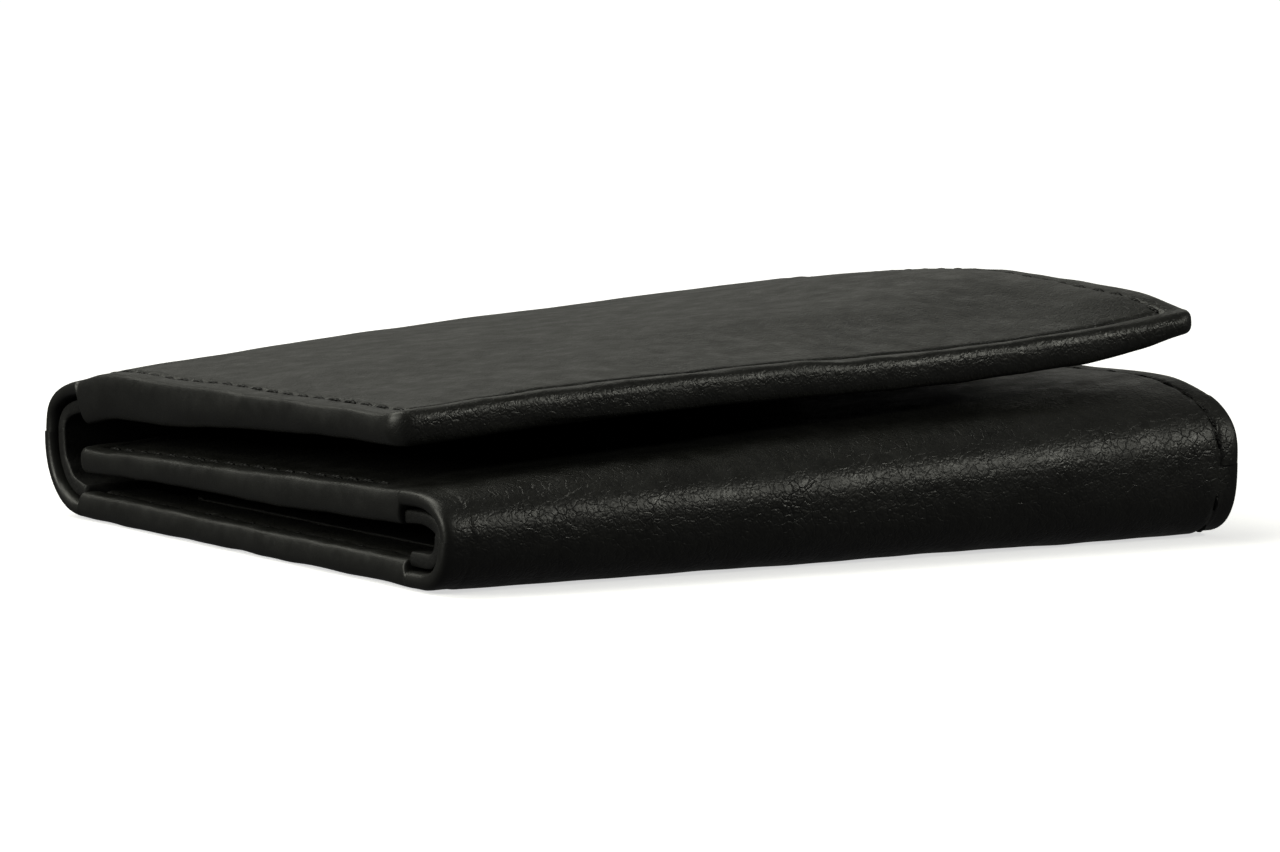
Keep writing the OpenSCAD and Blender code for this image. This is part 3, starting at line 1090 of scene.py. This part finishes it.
@dataclass
class Stitching(Part):
    """The stitches: short slanting capsules of thread, sunk into the seam's groove."""

    length: float = 2.5
    radius: float = 0.24
    sink: float = 0.21
    inside_sink: float = 0.31
    closed_sink: float = 0.22
    dip: float = 0.30
    slant: float = math.radians(7)
    around: int = 7

    def capsule(self) -> tuple[Array, list]:
        """One stitch along the first axis: rings whose radius is that of an ellipse's, with the
        ends dipping into the leather.

        Returns:
            Points, shape (n, 3), and faces.
        """
        place = np.array([-1.0, -0.82, -0.45, 0.0, 0.45, 0.82, 1.0])[:, None]
        size = self.radius * np.array([0.0, 0.66, 0.96, 1.0, 0.96, 0.66, 0.0])[:, None]
        turn = np.arange(self.around) * 2 * math.pi / self.around
        rings = np.stack(np.broadcast_arrays(
            place * self.length / 2, size * np.cos(turn),
            size * np.sin(turn) - self.dip * np.abs(place) ** 3), -1)
        points = np.concatenate([rings[0, :1], rings[1:-1].reshape(-1, 3), rings[-1, :1]])
        last = len(points) - 1
        ring = np.arange(1, last).reshape(-1, self.around)
        first_ring, last_ring = ring[0].tolist(), ring[-1].tolist()
        faces = ring_quads(ring)
        faces += [(0, b, a) for a, b in zip(first_ring, first_ring[1:] + first_ring[:1])]
        faces += [(last, a, b) for a, b in zip(last_ring, last_ring[1:] + last_ring[:1])]
        return points, faces

    def line(self, run: Run, leather: OuterLeather, inside: bool) -> Array:
        """Points of a run's stitches on one of its faces.

        Args:
            run: Which stretch.
            leather: The leather that they are sewn through.
            inside: Whether they show on the hem and not on the outer face.

        Returns:
            An array of shape (stitches, points, 3).
        """
        x, s = self.places(run, inside)
        at, normal, forward = self.wrap.frame_at(run, x, s)
        by_edge = (np.abs(x) < self.wrap.half_x - SEAM_IN - 0.01)[:, None]
        along = np.where(by_edge, np.cross(normal, forward), forward)
        side = np.cross(normal, along)
        cos, sin = math.cos(self.slant), math.sin(self.slant)
        along, side = along * cos + side * sin, side * cos - along * sin
        if inside:
            depth, up = leather.thickness(run, x, s) - self.inside_sink, -normal
        else:
            depth, up = self.sink + self.closed_sink * leather.closing(run, x, s), normal
        base = self.capsule()[0][None, :, :, None]
        return ((at - normal * depth[:, None])[:, None] + base[:, :, 0] * along[:, None]
                + base[:, :, 1] * side[:, None] + base[:, :, 2] * up[:, None])

    def places(self, run: Run, inside: bool) -> tuple[Array, Array]:
        """Middles of a run's stitches, as X and station. The inside ones stop at the notch."""
        seam, pitch = self.wrap.half_x - SEAM_IN, STITCH_PITCH
        first = SEAM_IN if run.free else 0.0
        last = self.wrap.notch[run] - 1.2 if inside else self.wrap.run_end[run]
        s = np.arange(first + pitch / 2, last - pitch * 0.35, pitch)
        x = np.concatenate([np.full(s.size, -seam), np.full(s.size, seam)])
        s = np.concatenate([s, s])
        if run.free:
            edge = np.arange(-seam + pitch / 2, seam - pitch * 0.3, pitch)
            x, s = np.concatenate([x, edge]), np.concatenate([s, np.full(edge.size, SEAM_IN)])
        return x, s

    def build(self, leather: OuterLeather) -> None:
        """Makes the stitches of all four runs, on both faces."""
        for run in Run:
            faces = self.capsule()[1]
            points = np.concatenate([self.line(run, leather, inside) for inside in (False, True)])
            count = points.shape[1]
            every = [tuple(k + count * i for k in f) for i in range(len(points)) for f in faces]
            piece = make_piece(run.piece("thread"), points.reshape(-1, 3), every)
            self.dress(piece, self.finishes.thread, "thread", run.nodes("stitching"), run)


# ---------------- studio


@dataclass(frozen=True)
class Softbox:
    """A rectangular light, a little short of blue, with its place and aim in metres."""

    name: str
    place: tuple[float, float, float]
    aim: tuple[float, float, float]
    size: tuple[float, float]
    power: float

    def build(self) -> None:
        """Adds the light to the scene."""
        lamp = bpy.data.lights.new(self.name, "AREA")
        lamp.shape, (lamp.size, lamp.size_y), lamp.energy = "RECTANGLE", self.size, self.power
        lamp.color = (1.0, 1.0, 0.89)
        holder = bpy.data.objects.new(self.name, lamp)
        holder.location = self.place
        holder.rotation_euler = (Vector(self.aim) - Vector(self.place)).to_track_quat("-Z", "Y").to_euler()
        holder.visible_camera = False
        bpy.context.scene.collection.objects.link(holder)


@dataclass
class Studio:
    """A pale floor, soft lights and a long lens close to the floor."""

    target: tuple[float, float, float] = (0.0, -0.0015, 0.0117)
    azimuth: float = -33.9
    elevation: float = 5.68
    roll: float = 0.40
    distance: float = 0.6
    lens: float = 144.2
    floor_half: float = 9.0
    floor_drop: float = 0.0001
    sky: float = 0.065

    def camera(self) -> None:
        """Adds the camera: azimuth turns it round the object from the -Y side."""
        side, rise = math.radians(self.azimuth), math.radians(self.elevation)
        back = Vector((math.sin(side) * math.cos(rise), -math.cos(side) * math.cos(rise), math.sin(rise)))
        lens = bpy.data.cameras.new("camera")
        lens.lens, lens.sensor_width, lens.clip_start, lens.clip_end = self.lens, 36.0, 0.01, 50.0
        camera = bpy.data.objects.new("camera", lens)
        camera.location = Vector(self.target) + back * self.distance
        upright = back.to_track_quat("Z", "Y")
        camera.rotation_euler = (upright @ Quaternion((0, 0, 1), math.radians(self.roll))).to_euler()
        bpy.context.scene.collection.objects.link(camera)
        bpy.context.scene.camera = camera

    def floor(self) -> None:
        """Adds the floor: white card, a little self-lit so that it stays white at a distance."""
        half, z = self.floor_half, -self.floor_drop
        mesh = bpy.data.meshes.new("floor")
        mesh.from_pydata([(-half, -half, z), (half, -half, z), (half, half, z), (-half, half, z)],
                         [], [(0, 1, 2, 3)])
        floor = bpy.data.objects.new("floor", mesh)
        bpy.context.scene.collection.objects.link(floor)
        n = Nodes("white_card")
        far = n.add("VectorMath", {0: n.place()}, operation="LENGTH").outputs["Value"]
        # The glow is 0.6 within 150 mm of the middle and rises to 1.0 at 1.3 m: weaker round the card
        # holder as painted shade, full far off so that the card stays white.
        n.tree.links.new(n.spread(far, 150.0, 1300.0, 0.60, 1.0), n.shader.inputs["Emission Strength"])
        tint = n.mix(n.spread(n.noise(n.place(), 180.0), 0.3, 0.7), (0.80, 0.80, 0.80), (0.82, 0.82, 0.82))
        rough = n.spread(n.noise(n.place(), 4.0), 0.3, 0.7, 0.9, 0.95)
        mesh.materials.append(n.finish(tint, rough, n.bump(n.noise(n.place(), 0.8), 0.002),
                                       Specular_IOR_Level=0.0, Emission_Color=(1, 1, 1, 1)))
        floor.visible_glossy = False
        floor.visible_diffuse = False

    def lights(self) -> None:
        """Adds the sky and the soft lights."""
        scene = bpy.context.scene
        world = bpy.data.worlds.new("sky")
        world.use_nodes = True
        background = world.node_tree.nodes["Background"]
        background.inputs["Color"].default_value = (1, 1, 1, 1)
        background.inputs["Strength"].default_value = self.sky
        scene.world = world
        scene.view_settings.view_transform = "Standard"
        for box in (Softbox("overhead", (-0.28, 0.42, 0.80), (0, 0, 0), (0.7, 0.7), 5.6),
                    Softbox("rear", (0.68, 0.90, 0.44), (0, 0, 0.01), (0.9, 0.50), 0.52),
                    Softbox("left", (-0.80, 0.10, 0.35), (0, 0, 0.01), (0.5, 0.4), 4.2),
                    Softbox("front_strip", (0.40, -0.48, 0.37), (0.01, -0.04, 0.01), (0.34, 0.065), 1.35)):
            box.build()

    def build(self) -> None:
        """Adds all of it."""
        self.camera()
        self.floor()
        self.lights()


def main() -> None:
    """Builds the studio and the card holder."""
    logging.basicConfig(level=logging.INFO, format="%(message)s")
    Studio().build()
    wrap = read_wrap()
    shared = wrap, read_bends(wrap), Finishes()
    leather = OuterLeather(*shared)
    for run in Run:
        leather.run(run)
    lining = Lining(*shared)
    for run in Run:
        lining.run(run)
    Stiffeners(*shared).build()
    Pockets(*shared).build()
    Stitching(*shared).build(leather)


if __name__ == "__main__":
    main()
